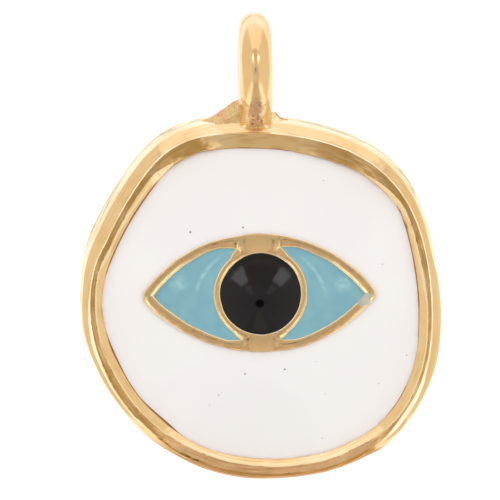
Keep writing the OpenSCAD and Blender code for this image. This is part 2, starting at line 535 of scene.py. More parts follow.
def handAt(normal):
    # the rim's hand-worked widths in one direction, on smooth curves through the table
    rows = rim["hand"]
    normal = (normal - rows[0][0]) % 360 + rows[0][0]
    i = bisect.bisect_right([row[0] for row in rows], normal) - 1

    def rowAt(k):
        turns, k = divmod(k, len(rows))
        return (rows[k][0] + 360 * turns,) + rows[k][1:]

    before, low, high, after = (rowAt(i + k) for k in (-1, 0, 1, 2))
    span = high[0] - low[0]
    t = (normal - low[0]) / span
    values = []
    for a, b, c, d in list(zip(before, low, high, after))[1:]:
        leave = (c - a) / (high[0] - before[0]) * span
        arrive = (d - b) / (after[0] - low[0]) * span
        values.append(
            b * (2 * t ** 3 - 3 * t ** 2 + 1) + leave * (t ** 3 - 2 * t ** 2 + t)
            + c * (3 * t ** 2 - 2 * t ** 3) + arrive * (t ** 3 - t ** 2)
        )
    return values


def acrossRim(normal):
    # the field's edge in one direction, the way out over the rim, and its width
    near, far = fieldLine.at(normal), outerLine.at(normal)
    return near, (far - near).normalized(), (far - near).length


def shareRound(normal, middle, full, gone):
    # 1 within full degrees of the middle direction, and 0 from gone degrees on
    away = abs((normal - middle + 180) % 360 - 180)
    return 1 - smoothStep(full, gone, away)


def flankRoll(normal):
    # where the outer flank rolls over: early at the upper corners, late at lower right
    turn = (normal + 180) % 360 - 180
    late = smoothStep(-26, -14, turn) * (1 - smoothStep(2, 12, turn))
    left = smoothStep(160, 200, normal) * (1 - smoothStep(334, 346, normal))
    return 0.52 + 0.36 * late + 0.1 * left


def streakAt(x, normal, fine, pace, place):
    # a line pattern that runs with the rim and meets itself where the rim closes
    value = noiseAt(x * fine, normal * pace, place)
    share = smoothStep(341, 355, normal)
    if share > 0:
        value += share * (noiseAt(x * fine, (normal - 360) * pace, place) - value)
    return value


def rimMarks(normal, near, width):
    # where the section's parts meet in one direction, and the rim's traits there
    edge, bandFrom, bandTo, step, bevel, grow = handAt(normal)
    low, high = shareRound(normal, -90, 30, 46), shareRound(normal, 90, 6, 22)
    rough = noiseAt(near.x * 3.1, near.y * 3.1, 0.4)
    grain = noiseAt(near.x * 9, near.y * 9, 5.2)
    bandFrom += 0.012 * rough + 0.018 * grain * (1 - high)
    bandFrom = max(bandFrom, edge + 0.03)
    bandTo += 0.014 * noiseAt(near.x * 2.3, near.y * 2.3, 8.8)
    step = min(step, bandFrom - edge - 0.01)
    bounds = [bandFrom - step, bandFrom, bandTo, bandTo + bevel]
    width += grow
    bright = smoothStep(0.08, 0.16, step)
    upper = rim["upperSlope"] * shareRound(normal, 90, 36, 50)
    bandSlope = max(rim["bandSlope"] + (rim["topSlope"] - rim["bandSlope"]) * high, upper)
    return {
        "edge": edge,
        "bounds": bounds,
        "width": width,
        "rollAt": bounds[3] + (width - bounds[3]) * flankRoll(normal),
        "slopes": [
            rim["facetSlope"], rim["stepSlope"] - rim["brightStep"] * bright, bandSlope,
            -rim["stepSlope"], rim["flankSlope"],
        ],
        "low": low,
        "high": high,
        "bright": bright,
        "facet": smoothStep(0.03, 0.10, bounds[0] - edge),
        "groove": smoothStep(200, 208, normal) * (1 - smoothStep(246, 254, normal)),
    }


def rimPlaces(marks):
    # the distances out where the section has a point, closer together round each bend
    edge, bounds, width = marks["edge"], marks["bounds"], marks["width"]
    starts = [edge] + bounds + [width]
    places = []
    for a, b, count in zip(starts, starts[1:], rim["cuts"]):
        places += [a + (b - a) * t / count for t in range(1, count)]
    for bound in bounds:
        places += [bound + rim["bend"] * t for t in (-1, -0.5, 0, 0.5, 1)]
    places = [edge] + sorted(min(max(x, edge), width) for x in places)
    for i in range(1, len(places)):
        places[i] = max(places[i], places[i - 1] + 0.0015)
    return places


def rimSlope(x, normal, marks):
    edge, bounds, slopes = marks["edge"], marks["bounds"], marks["slopes"]
    lift, liftWide = rim["facetLift"]
    slope = slopes[0] + lift * (1 - smoothStep(edge, edge + liftWide, x))
    for bound, a, b in zip(bounds, slopes, slopes[1:]):
        slope += (b - a) * smoothStep(bound - rim["bend"], bound + rim["bend"], x)
    if x > bounds[3]:
        rollAt, width = marks["rollAt"], marks["width"]
        before, at, after, foot = rim["flankFalls"]
        slope -= before * min(max((x - bounds[3]) / (rollAt - bounds[3]), 0), 1)
        slope -= at * smoothStep(rollAt - 0.03, rollAt + 0.06, x)
        slope -= after * smoothStep(rollAt, width, x) + foot * smoothStep(width - 0.09, width, x)
    streak = streakAt(x, normal, *rim["slopeStreaks"])
    return slope + streak * (4 if bounds[1] < x < bounds[2] else 8)


def rimShade(x, normal, near, marks):
    # the painted light and shade at one place, and how deep the worn groove is there
    edge, bounds, width = marks["edge"], marks["bounds"], marks["width"]
    low, high, bright = marks["low"], marks["high"], marks["bright"]
    streak = streakAt(x, normal, *rim["shadeStreaks"])
    blotch = noiseAt(near.x * 1.3 + x, near.y * 1.3, 4.4)
    pit = noiseAt(near.x * 8 + x * 9, near.y * 8, 1.7)
    # painted shade along the enamel's edge, painted light and dark streaks along the rim, and blotches
    # of tone
    shade = -0.65 * (1 - smoothStep(edge, edge + 0.05, x)) + 0.6 * streak + 0.3 * blotch
    if x < bounds[0]:  # the facet; at the charm's bottom it is a painted highlight with a painted dark line along its middle
        middle = (edge + bounds[0]) / 2
        shade += low * (0.4 - 0.9 * (1 - smoothStep(0.01, 0.03, abs(x - middle))))
    elif x < bounds[1]:  # the step, painted as highlight lines, brightest and streaked where it is wide
        shade += 0.9 * marks["facet"] * (1 - bright) + (0.55 + 0.8 * streak) * bright
    elif x < bounds[2]:  # the band, darkened as painted shade, less at the top and bottom
        shade -= 0.7 - 0.65 * high - 0.45 * low
    elif x <= bounds[3]:  # the bevel, a painted highlight with a painted dark line at the charm's bottom
        shade += 0.8 - 1.6 * low
    else:  # the flank, a painted highlight towards its outer edge and at the top, painted shade at the bottom
        t = (x - bounds[3]) / (width - bounds[3])
        shade += (0.6 * smoothStep(0.35, 0.8, t) + 0.4 * high) * (1 - low) - 0.4 * low
    # a worn groove beside the band, darkened with painted shade, and pits along both of the band's
    # edges
    dip = math.exp(-((x - bounds[2]) / 0.03) ** 2) * marks["groove"]
    shade -= dip * (1.3 + 1.5 * pit)
    nearBound = min(abs(x - bound) for bound in bounds[1:3])
    pitted = smoothStep(0.36, 0.55, pit) * (1 - smoothStep(0.02, 0.05, nearBound))
    shade -= 0.9 * pitted * smoothStep(0.05, 0.14, bounds[1] - edge)
    return shade, 0.03 * dip


def rimSection(normal, near, width):
    # The section over the rim as (distance out from the field's line, height, painted light
    # and shade): a facet beside the enamel, a step, a flat band, a bevel, and an outer flank.
    marks = rimMarks(normal, near, width)
    places = rimPlaces(marks)
    heights = [0]
    for a, b in zip(places, places[1:]):
        slope = rimSlope((a + b) / 2, normal, marks)
        heights.append(heights[-1] + (b - a) * math.tan(math.radians(slope)))
    top = max(heights)
    rows = []
    for x, z in zip(places, heights):
        shade, groove = rimShade(x, normal, near, marks)
        rows.append([x, rim["crest"] - top + z - groove, shade])
    return rows


def makeRim():
    sections, ways = [], []
    for normal in columnNormals:
        near, out, width = acrossRim(normal)
        rows = rimSection(normal, near, width)
        edge = rows[0][0]
        width, wallTop = rows[-1][:2]
        soft = rim["backRound"]
        wall = [[width, wallTop * 0.6 + soft * 0.4, 0], [width, soft, 0]]
        for i in range(1, 5):  # the back's rounded edge
            t = math.radians(22.5 * i)
            inwards, up = 1 - math.cos(t), 1 - math.sin(t)
            wall.append([width - soft * inwards, soft * up, 0])
        inside = [[edge, rim["floor"], -1], [edge, rim["wallMiddle"], -1]]
        sections.append(inside + rows + wall)
        ways.append((near, out))
    rings, shades = [], []
    for row in range(len(sections[0])):
        ring = []
        for (near, out), section in zip(ways, sections):
            spot = near + out * section[row][0]
            ring.append(Vector((spot.x, spot.y, section[row][1])))
        rings.append(ring)
        shades.append([section[row][2] for section in sections])
    # the casting isn't quite even: a slow wander of the rim's top, none at the back
    for ring in rings[len(inside):-len(wall)]:
        for p in ring:
            wander = noiseAt(p.x * 0.55, p.y * 0.55, 3.1)
            small = noiseAt(p.x * 1.9, p.y * 1.9, 7.7)
            p.z += 0.018 * wander + 0.006 * small - 0.012
    piece = stackRings("rim", rings)
    endEdit(piece, 50, shades)
    finishPiece(piece, goldPaint, "gold_metal", "metal_body")


goldPaint = goldMaterial("polished gold")
makeRim()


# The eye's wires

eye = {
    "centre": Vector((-0.06, 0.1)),
    "lidsWide": 11.9,
    "rise": 3.0,
    "drop": 2.94,
    "tipRound": 0.55,
    "blueWide": 10.5,
    "lidWire": 0.45,
    "ringWire": 0.36,
    "pupilCentre": Vector((0, 0.08)),
    "pupilRadius": 2.0,
    "wireTop": 2.05,
    "wireSunk": 0.012,        # how far the flat top lies below its own edges
    "wireRound": 0.07,
    "wireFoot": (1.5, 0.75),  # heights of the wires' walls, the last in the floor
    # shade for each ring of the wires: a darker flat top, painted highlights over the rounded edges,
    # darker walls
    "wireShades": [-0.55, 0.2, 0.9, 0.9, 0.7, 0.2, -0.5, -0.5],
    "leftHangs": 0.17,
    # the blue cells' ends by the bridges: how far across at the top and bottom, how far
    # up and down, and over what length they open
    "cusps": {-1: (-1.38, -1.06), 1: (1.1, 1.1)},
    "cuspUp": 2.45,
    "cuspOpens": 0.5,
    "blueColumns": 110,
    # the bridges were left matt: where, how far round, and how rough
    "bridges": [((-0.1, 2.72, 2.05), 0.5, 0.5), ((0.05, -2.4, 2.05), 0.5, 0.36)],
    # cloudy enamel has run over the wire by the right corner: where and how far round
    "glazed": [
        (photoSpot(361.0, 303.0, 2.05), 0.13), (photoSpot(364.2, 300.6, 2.05), 0.21),
        (photoSpot(366.8, 297.0, 2.05), 0.13),
    ],
}
ringRadius = eye["pupilRadius"] + eye["ringWire"]


def lidCircles(wide, rise, drop):
    upper, lower = arcRadius(wide, rise), arcRadius(wide, drop)
    return (
        (eye["centre"] + Vector((0, rise - upper)), upper),
        (eye["centre"] + Vector((0, lower - drop)), lower),
    )


lids = lidCircles(eye["lidsWide"], eye["rise"], eye["drop"])
blueLids = lidCircles(eye["blueWide"], eye["rise"] - eye["lidWire"], eye["drop"] - eye["lidWire"])


def wobble(p, share=1.0):
    # the hand-bent wires' unevenness, which the fills beside them follow
    q = Vector((p.x, p.y, 0))
    shift = noise.noise_vector(q * 0.9) * 0.035 + noise.noise_vector(q * 3.4) * 0.014
    shift.y -= eye["leftHangs"] * smoothStep(-3.7, -6.0, p.x)
    shift.z = 0
    return p + shift * share


def eyeLoop(inset=0, lidSteps=110, tipSteps=22):
    # the wire's outer edge: two lids and two rounded tips, counterclockwise
    (upperAt, upperR), (lowerAt, lowerR) = lids
    tip = eye["tipRound"]
    left, right = circlesMeet(upperAt, upperR - tip, lowerAt, lowerR - tip)
    upFrom, upTo = bearing(right, upperAt), bearing(left, upperAt)
    downFrom, downTo = bearing(left, lowerAt) % 360, bearing(right, lowerAt) % 360
    return (
        arcPoints(upperAt, upperR - inset, upFrom, upTo, lidSteps)
        + arcPoints(left, tip - inset, upTo, downFrom, tipSteps)
        + arcPoints(lowerAt, lowerR - inset, downFrom, downTo, lidSteps)
        + arcPoints(right, tip - inset, downTo, upFrom + 360, tipSteps)
    )


def blueRows(side, inset=0.0):
    # Rows of one blue cell, from the ring out to the lids, in directions from the
    # pupil. The ends by the bridges close in a round.
    (upperAt, upperR), (lowerAt, lowerR) = blueLids
    centre = eye["pupilCentre"]
    topAt, bottomAt = (x + side * inset for x in eye["cusps"][side])
    top = bearing(Vector((topAt, centre.y + eye["cuspUp"])), centre)
    bottom = bearing(Vector((bottomAt, centre.y - eye["cuspUp"])), centre) % 360
    left, right = circlesMeet(upperAt, upperR - inset, lowerAt, lowerR - inset)
    if side > 0:
        top, bottom = bottom - 360, top
        corner = bearing(right, centre)
    else:
        corner = bearing(left, centre) % 360
    half = eye["blueColumns"] // 2
    rows = []
    for i in range(2 * half + 1):
        t = min(i, 2 * half - i) / half
        if t < 1:  # more rows towards the ends
            t = 1 - math.cos(t * math.pi / 2) ** 0.9
            t = math.sin(t * math.pi / 2) ** 1.6
        angle = (top if i <= half else bottom) * (1 - t) + corner * t
        ray = direction(angle)
        far = min(reachOut(centre, ray, at, radius - inset) for at, radius in blueLids)
        near = ringRadius + inset
        fromEnd = math.radians(min(abs(angle - top), abs(angle - bottom))) * near
        middle, halfHigh = (far + near) / 2, max(far - near, 0.001) / 2
        if fromEnd < eye["cuspOpens"]:
            halfHigh *= (fromEnd / eye["cuspOpens"]) ** 0.75
        rows.append((angle, middle - halfHigh, middle + halfHigh))
    return rows


def blueOutline(side, inset=0.0):
    centre = eye["pupilCentre"]
    rows = blueRows(side, inset)
    out = [centre + far * direction(a) for a, near, far in rows]
    back = [centre + near * direction(a) for a, near, far in rows]
    return out + back[-2:0:-1]


def wireLoops(back):
    # the outer edge and the edges of the three cells, all set back into the wire
    pupil = arcPoints(eye["pupilCentre"], eye["pupilRadius"] + back, 0, 360, 160)
    return [eyeLoop(back), blueOutline(-1, -back), blueOutline(1, -back), pupil]


def makeWires():
    top, edge, foot = eye["wireTop"], eye["wireRound"], eye["wireFoot"]
    levels = [(edge + 0.03, top - eye["wireSunk"])]
    for bend in (0, 22.5, 45, 67.5, 90):
        # from the flat top over the rounded edge
        t = math.radians(bend)
        levels.append((edge * (1 - math.sin(t)), top - edge * (1 - math.cos(t))))
    levels += [(0, height) for height in foot]
    piece = None
    for rings in zip(*([atHeight(loop, z) for loop in wireLoops(back)] for back, z in levels)):
        rings = [[wobble(p) for p in ring] for ring in rings]
        if piece is None:
            piece = ringFrom("eye_wires", rings[0])
        else:
            addLoop(piece, rings[0])
        for ring in rings[1:]:
            nextRing(piece, ring)
    for height in (levels[0][1], levels[-1][1]):
        selectOpenEdges(piece, height)
        bpy.ops.mesh.fill(use_beauty=True)
    longest = max(len(loop) for loop in wireLoops(0))
    endEdit(piece, 35, [[shade] * longest for shade in eye["wireShades"]])
    finishPiece(piece, wirePaint, "gold_metal", "metal_body")


wirePaint = goldMaterial(
    "wire gold", 0.45, gold["wireDark"], glazed=eye["glazed"], matt=eye["bridges"]
)
makeWires()


# The white enamel

white = {
    "edge": 1.76,
    "rise": 0.26,
    "edgeRadius": 7.8,
    # how far it draws up beside the rim and beside the wires: over what width, how high
    "byRim": (0.22, 0.05),
    "byWires": (0.12, 0.03),
    # where its rings lie, as shares of the way from the wires to the rim
    "rings": [
        0, 0.008, 0.02, 0.04, 0.07, 0.11, 0.17, 0.25, 0.34, 0.44,
        0.55, 0.66, 0.76, 0.84, 0.9, 0.94, 0.965, 0.982, 0.992, 1,
    ],
    "colours": (rgb(0.895, 0.875, 0.88), rgb(0.905, 0.89, 0.89)),
    # the colour of the painted shade along the enamel's edges
    "edgeShade": rgb(0.66, 0.56, 0.55),
    "dirt": rgb(0.13, 0.12, 0.12),
    # pixel across, pixel down, radius in mm and darkness of each speck
    "specks": [
        (190.5, 232.4, 0.045, 0.9), (243.0, 228.0, 0.035, 1.0), (323.3, 180.5, 0.024, 0.7),
        (382.0, 264.4, 0.028, 0.7), (284.5, 369.5, 0.04, 0.9), (316.0, 361.8, 0.022, 0.5),
        (324.8, 393.6, 0.022, 0.6), (378.0, 383.6, 0.024, 0.6), (406.0, 355.2, 0.028, 0.7),
        (245.0, 374.0, 0.035, 0.9), (218.8, 395.0, 0.028, 0.8), (210.0, 404.8, 0.022, 0.6),
        (321.8, 437.8, 0.026, 0.7),
    ],
}
domeRadius = arcRadius(2 * white["edgeRadius"], white["rise"])


def domeHeight(p):
    return white["edge"] + white["rise"] - domeRadius + math.sqrt(
        domeRadius ** 2 - p.x ** 2 - p.y ** 2
    )


def creep(distance, wide, high):
    # how far the melted enamel draws up beside its metal
    return high * math.exp(-distance / wide * 2.2)


def whiteMaterial():
    material, paint = newMaterial("white enamel", roughness=0.07, ior=1.5)
    colour = paint.mix(paint.ramp(paint.noise(3.5, 2), 0.35, 0.65), *white["colours"])
    # painted shade along the edges by the rim and the wires, from the mesh's shade value
    edgeShade = paint.times(paint.shade(), paint.ramp(paint.noise(0.5), 0.3, 0.7, 0.6, 1.0))
    colour = paint.mix(edgeShade, colour, white["edgeShade"])
    for across, down, radius, dark in white["specks"]:
        spot = photoSpot(across, down)
        spot.z = domeHeight(spot)
        share = paint.times(paint.near(spot, radius * 0.6, radius), dark)
        colour = paint.mix(share, colour, white["dirt"])
    paint.give("Base Color", colour)
    paint.give("Normal", paint.bump(paint.noise(1.6, 2), 0.01, 0.15))
    return material


def makeWhite():
    centre = eye["centre"]
    outer = []
    for normal in columnNormals:
        near, out = acrossRim(normal)[:2]
        outer.append(near + out * (handAt(normal)[0] + overlap))
    eyeLine = PolarLine(eyeLoop(overlap, 900, 300), centre)
    inner = [eyeLine.at(bearing(p, centre)) for p in outer]
    rings = [[wobble(p) for p in atHeight(inner, rim["floor"])]]
    shades = [[0] * len(inner)]
    for share in white["rings"]:
        ring, shade = [], []
        for a, b in zip(inner, outer):
            p = a.lerp(b, share)
            fromWires, fromRim = share * (b - a).length, (1 - share) * (b - a).length
            height = domeHeight(p) + creep(fromWires, *white["byWires"])
            height += creep(fromRim, *white["byRim"])
            ring.append(wobble(Vector((p.x, p.y, height)), (1 - share) ** 3))
            # painted shade towards the rim and towards the wires
            shade.append(max(math.exp(-fromRim / 0.11), 0.8 * math.exp(-fromWires / 0.09)))
        rings.append(ring)
        shades.append(shade)
    rings.append(atHeight(outer, rim["floor"]))
    shades.append(shades[0])
    piece = ringFrom("white_fill", rings[0])
    for ring in rings[1:]:
        nextRing(piece, ring)
    # the last ring is joined to the first across the floor
    selectOpenEdges(piece, rim["floor"])
    bpy.ops.mesh.bridge_edge_loops()
    endEdit(piece, 50, shades)
    finishPiece(piece, whiteMaterial(), "white_enamel", "white_enamel")


makeWhite()


# The blue enamel, left and right

blue = {
    "lower": 0.03,            # how far it lies below the white's dome
    "byMetal": (0.1, 0.04),
    # where its rows lie, as shares of the way from the ring to the lids
    "across": [0, 0.03, 0.08, 0.16, 0.28, 0.42, 0.58, 0.72, 0.84, 0.92, 0.97, 1],
    "colours": (rgb(0.20, 0.43, 0.52), rgb(0.23, 0.47, 0.54)),
    # the colour of painted highlights on the blue
    "paintedHighlight": rgb(0.34, 0.60, 0.66),
    # in mm from the middle, given for the right cell and mirrored for the left one
    "arcAt": (0.2, -0.62),
    "arcRadius": 3.17,
    "arcWide": 0.09,
    "arcShows": (2.75, 1.1),
    "patchAt": (4.1, 0.6),
    "level": 1.95,            # the height of all three
}


def blueMaterial():
    material, paint = newMaterial("blue enamel", roughness=0.09, ior=1.5)
    colour = paint.mix(paint.ramp(paint.noise(0.9), 0.35, 0.7), *blue["colours"])
    for side in (-1, 1):
        arcAt, arcShows, patchAt = (
            (side * x, y, blue["level"]) for x, y in (blue["arcAt"], blue["arcShows"], blue["patchAt"])
        )
        # a painted highlight: a pale arc where the fill draws up round the ring
        radius, wide = blue["arcRadius"], blue["arcWide"]
        within, inside = paint.near(arcAt, radius, wide), paint.near(arcAt, radius - 2 * wide, wide)
        arc = paint.math("SUBTRACT", within, inside, clamp=True)
        arc = paint.times(arc, paint.near(arcShows, 0.5, 0.9))
        arc = paint.times(arc, paint.ramp(paint.noise(0.35), 0.3, 0.6, 0.2, 0.7))
        colour = paint.mix(arc, colour, blue["paintedHighlight"])
        # and a painted highlight as a paler patch by the corner
        patch = paint.near(patchAt, 0.05, 0.55)
        patch = paint.times(patch, paint.ramp(paint.noise(0.3), 0.4, 0.65, 0.3, 0.95))
        colour = paint.mix(patch, colour, blue["paintedHighlight"])
    paint.give("Base Color", colour)
    paint.give("Normal", paint.bump(paint.noise(0.7, 2), 0.01, 0.2))
    return material


def makeBlue(side, name, node):
    # a grid drawn into the cell, from end to end and from the ring out, then given depth
    centre, across = eye["pupilCentre"], blue["across"]
    rows = blueRows(side, -overlap)
    deselectAll()
    bpy.ops.mesh.primitive_grid_add(
        x_subdivisions=len(rows) - 1, y_subdivisions=len(across) - 1, size=2
    )
    piece = startPiece(name)
    bpy.ops.object.mode_set(mode="EDIT")
    cage = bmesh.from_edit_mesh(piece.data)
    for v in cage.verts:
        angle, near, far = rows[round((v.co.x + 1) / 2 * (len(rows) - 1))]
        t = across[round((v.co.y + 1) / 2 * (len(across) - 1))]
        p = centre + (near + (far - near) * t) * direction(angle)
        fromEdge = min(t, 1 - t) * (far - near)
        height = domeHeight(p) - blue["lower"] + creep(fromEdge, *blue["byMetal"])
        v.co = wobble(Vector((p.x, p.y, height)))
    bmesh.update_edit_mesh(piece.data)
    bpy.ops.mesh.select_all(action="SELECT")
    bpy.ops.mesh.extrude_region_move()
    cage = bmesh.from_edit_mesh(piece.data)
    for v in cage.verts:
        if v.select:
            v.co.z = rim["floor"]
    bmesh.update_edit_mesh(piece.data)
    endEdit(piece, 50)
    finishPiece(piece, bluePaint, "blue_enamel", node)


bluePaint = blueMaterial()
makeBlue(-1, "blue_fill_left", "blue_enamel_left")
makeBlue(1, "blue_fill_right", "blue_enamel_right")


# The black pupil

pupil = {
    "edge": 2.03,
    "rise": 0.3,
    # where its rings lie, as shares of its radius
    "rings": [1, 0.985, 0.965, 0.94, 0.9, 0.84, 0.76, 0.66, 0.54, 0.42, 0.3, 0.18, 0.08, 0.02],
    "colours": (rgb(0.002, 0.0016, 0.002), rgb(0.006, 0.004, 0.0045)),
    # the colour of the pale spots, painted glint and painted reflection
    "paleSpot": rgb(0.8, 0.78, 0.75),
    # pixel across, pixel down, radius in mm and strength of each pale spot: the first two are a
    # painted glint, the last a painted reflection
    "paleSpots": [
        (275.6, 265.4, 0.05, 0.9), (277.6, 267.6, 0.04, 0.9), (224.0, 307.0, 0.03, 0.5),
        (247.0, 330.0, 0.025, 0.6), (258.0, 258.2, 0.03, 0.35),
    ],
}


def blackMaterial():
    material, paint = newMaterial("black enamel", roughness=0.05, ior=1.5, specular=0.39)
    colour = paint.mix(paint.noise(0.8, 2), *pupil["colours"])
    # pale spots, among them a painted glint and a painted reflection
    for across, down, radius, light in pupil["paleSpots"]:
        spot = paint.near(photoSpot(across, down, 2.3), radius * 0.5, radius)
        colour = paint.mix(paint.times(spot, light), colour, pupil["paleSpot"])
    paint.give("Base Color", colour)
    return material


def makePupil():
    centre, reach = eye["pupilCentre"], eye["pupilRadius"] + overlap
    radius = arcRadius(2 * reach, pupil["rise"])
    levels = [(1, rim["floor"])]
    for share in pupil["rings"]:
        height = pupil["edge"] - radius + pupil["rise"] + math.sqrt(radius ** 2 - (share * reach) ** 2)
        levels.append((share, height))
    rings = []
    for share, height in levels:
        ring = atHeight(arcPoints(centre, share * reach, 0, 360, 160), height)
        rings.append([wobble(p) for p in ring])
    piece = stackRings("pupil_fill", rings)
    endEdit(piece, 50)
    finishPiece(piece, blackMaterial(), "black_enamel", "pupil_enamel")


makePupil()


# The hanging loop and its foot

loop = {
    "outer": 3.0,
    "wire": 0.85,
    "centre": Vector((-0.28, 11.35, 1.1)),
    "twist": 1.2,
    "lean": 1.2,
    "segments": (256, 120),
    "stained": (9.95, 9.1),   # where its lower end starts to be stained, and is wholly
    "redSpot": (0.0, 9.5),
    "crestAt": -0.26,
    # the foot by distance up the charm: height, half width and half depth
    "foot": [
        (9.75, 3.60, 0.85, 1.10), (9.35, 3.31, 0.85, 1.40), (9.0, 2.95, 0.85, 1.35),
        (8.85, 2.74, 0.85, 1.20), (8.72, 2.55, 0.86, 1.05), (8.6, 2.38, 0.89, 0.95),
        (8.52, 2.27, 0.94, 0.85), (8.45, 2.19, 1.00, 0.75), (8.38, 2.12, 1.06, 0.65),
        (8.2, 1.98, 1.08, 0.60),
    ],
    "footCuts": (160, 8),     # round it, and between two rows of the table
}


def stainAt(p):
    # the share of brown solder stain over the crest, and of painted highlight beside it
    ragged = noise.noise(p * 2.6)
    start, full = loop["stained"]
    down = smoothStep(start, full, p.y + 0.4 * ragged)
    off = abs(p.x - loop["crestAt"]) + 0.16 * ragged + 0.1 * noise.noise(p * 7)
    core = 1 - smoothStep(0.20, 0.50, off)
    core *= smoothStep(1.6, 2.2, p.z) * smoothStep(8.28, 8.45, p.y + 0.2 * noise.noise(p * 6))
    return down * core, down * (1 - core) * smoothStep(1.0, 1.5, p.z)


def stained(p):
    # a point of the loop or its foot with the pits it has there, and its shade
    core, beside = stainAt(p)
    lumps = noise.noise_vector(p * 5) * 0.035 + noise.noise_vector(p * 11) * 0.025
    red = math.exp(-(p.xy - Vector(loop["redSpot"])).length_squared / 0.03)
    pit = smoothStep(0.2, 0.45, noise.noise(p * 7))
    pit -= 0.8 * smoothStep(0.25, 0.5, noise.noise(p * 6.1))
    # beside the stain a painted highlight, stronger towards the top
    beside *= 0.4 + 0.6 * smoothStep(8.5, 8.8, p.y)
    shade = 0.9 * beside - core * (0.95 + 0.8 * pit) - 1.1 * red * min(2 * core, 1)
    return p + lumps * core * smoothStep(9.7, 9.1, p.y), shade


def makeLoop():
    deselectAll()
    around, through = loop["segments"]
    bpy.ops.mesh.primitive_torus_add(
        major_segments=around, minor_segments=through,
        major_radius=loop["outer"] - loop["wire"], minor_radius=loop["wire"],
    )
    piece = startPiece("hanging_loop")
    piece.data.transform(
        Matrix.Translation(loop["centre"])
        @ Matrix.Rotation(math.radians(loop["lean"]), 4, "Z")
        @ Matrix.Rotation(math.radians(loop["twist"]), 4, "Y")
        @ Matrix.Rotation(math.radians(90), 4, "Y")
    )
    shade = piece.data.attributes.new("shade", "FLOAT", "POINT")
    for v in piece.data.vertices:
        # the casting's slow unevenness, less where it lies on the table
        wander = noise.noise_vector(v.co * 0.7) * 0.02 * smoothStep(-1.9, 0.5, v.co.z)
        v.co, shade.data[v.index].value = stained(v.co + wander)
    bpy.ops.object.mode_set(mode="EDIT")
    endEdit(piece, 60)
    finishPiece(piece, footPaint, "gold_metal", "metal_body")


def makeFoot():
    # the ring's wire runs on into the crest of the rim and flares there to both sides
    around, between = loop["footCuts"]
    rings, shades = [], []
    for low, high in zip(loop["foot"], loop["foot"][1:]):
        for i in range(between):
            y, top, wide, deep = (a + (b - a) * i / between for a, b in zip(low, high))
            ring, shade = [], []
            for k in range(around):
                t = 2 * math.pi * k / around
                x, z = loop["crestAt"] + wide * math.cos(t), top - deep + deep * math.sin(t)
                p, tone = stained(Vector((x, y, z)))
                ring.append(p)
                shade.append(tone)
            rings.append(ring)
            shades.append(shade)
    piece = stackRings("loop_foot", rings)
    endEdit(piece, 60, shades)
    finishPiece(piece, footPaint, "gold_metal", "metal_body")


# gold["soft"] is the colour of the painted highlight beside the solder stain
footPaint = goldMaterial("solder-stained gold", 0.5, gold["solder"], gold["soft"], dull=0.22)
makeLoop()
makeFoot()


# The solder beside the loop: a web on the left and a small fillet on the right

slab = {"low": 0.5, "high": 1.85, "voxel": 0.045, "smoothing": 9}

web = {
    "outline": [
        (-3.0, 8.45), (-2.1, 8.45), (-1.4, 8.45), (-0.6, 8.5), (-0.6, 9.9), (-1.15, 9.87),
        (-1.4, 9.76), (-1.75, 9.50), (-2.2, 9.18), (-2.75, 8.88), (-3.15, 8.68),
    ],
    "darkEdge": [],
    "grain": 0.03,
    "start": (-2.1, 8.6),     # where the top starts to fall off, which way and how fast
    "way": (-0.5, 0.87),
    "slope": 0.62,
    "colours": (rgb(0.88, 0.64, 0.32), rgb(0.87, 0.53, 0.30)),
    # darker specks where the bump's grain is high
    "darkGrain": rgb(0.42, 0.31, 0.13),
}

fillet = {
    "outline": [
        (1.75, 8.80), (1.5, 8.84), (1.25, 8.88), (1.07, 8.94), (0.95, 9.02), (0.86, 9.12),
        (0.81, 9.22), (0.74, 9.27), (0.6, 9.3), (0.3, 9.32), (0.3, 8.5), (1.5, 8.5),
    ],
    # the line that the light doesn't reach
    "darkEdge": [
        (1.5, 8.84), (1.4, 8.855), (1.3, 8.87), (1.2, 8.895), (1.1, 8.93), (1.02, 8.975),
        (0.95, 9.02), (0.9, 9.07), (0.86, 9.12), (0.83, 9.18), (0.80, 9.24),
    ],
    "grain": 0.01,
    "start": (0.7, 8.7),
    "way": (0.6, 0.8),
    "slope": 0.8,
}


def webMaterial():
    material, paint = newMaterial("sandy solder gold", metallic=1.0)
    grain = paint.noise(0.09, 5, 0.7)
    patch = paint.ramp(paint.noise(0.45), 0.48, 0.64)
    colour = paint.mix(patch, *web["colours"])
    # darker specks where the same grain raises the bumps
    colour = paint.mix(paint.ramp(grain, 0.50, 0.68, 0.0, 0.75), colour, web["darkGrain"])
    paint.give("Base Color", colour)
    paint.give("Roughness", paint.ramp(grain, 0.3, 0.7, 0.38, 0.6))
    paint.give("Normal", paint.bump(grain, 0.03, 0.8))
    return material


def addModifier(piece, kind, **values):
    bpy.ops.object.modifier_add(type=kind)
    modifier = piece.modifiers[-1]
    for key, value in values.items():
        setattr(modifier, key, value)
    bpy.ops.object.modifier_apply(modifier=modifier.name)


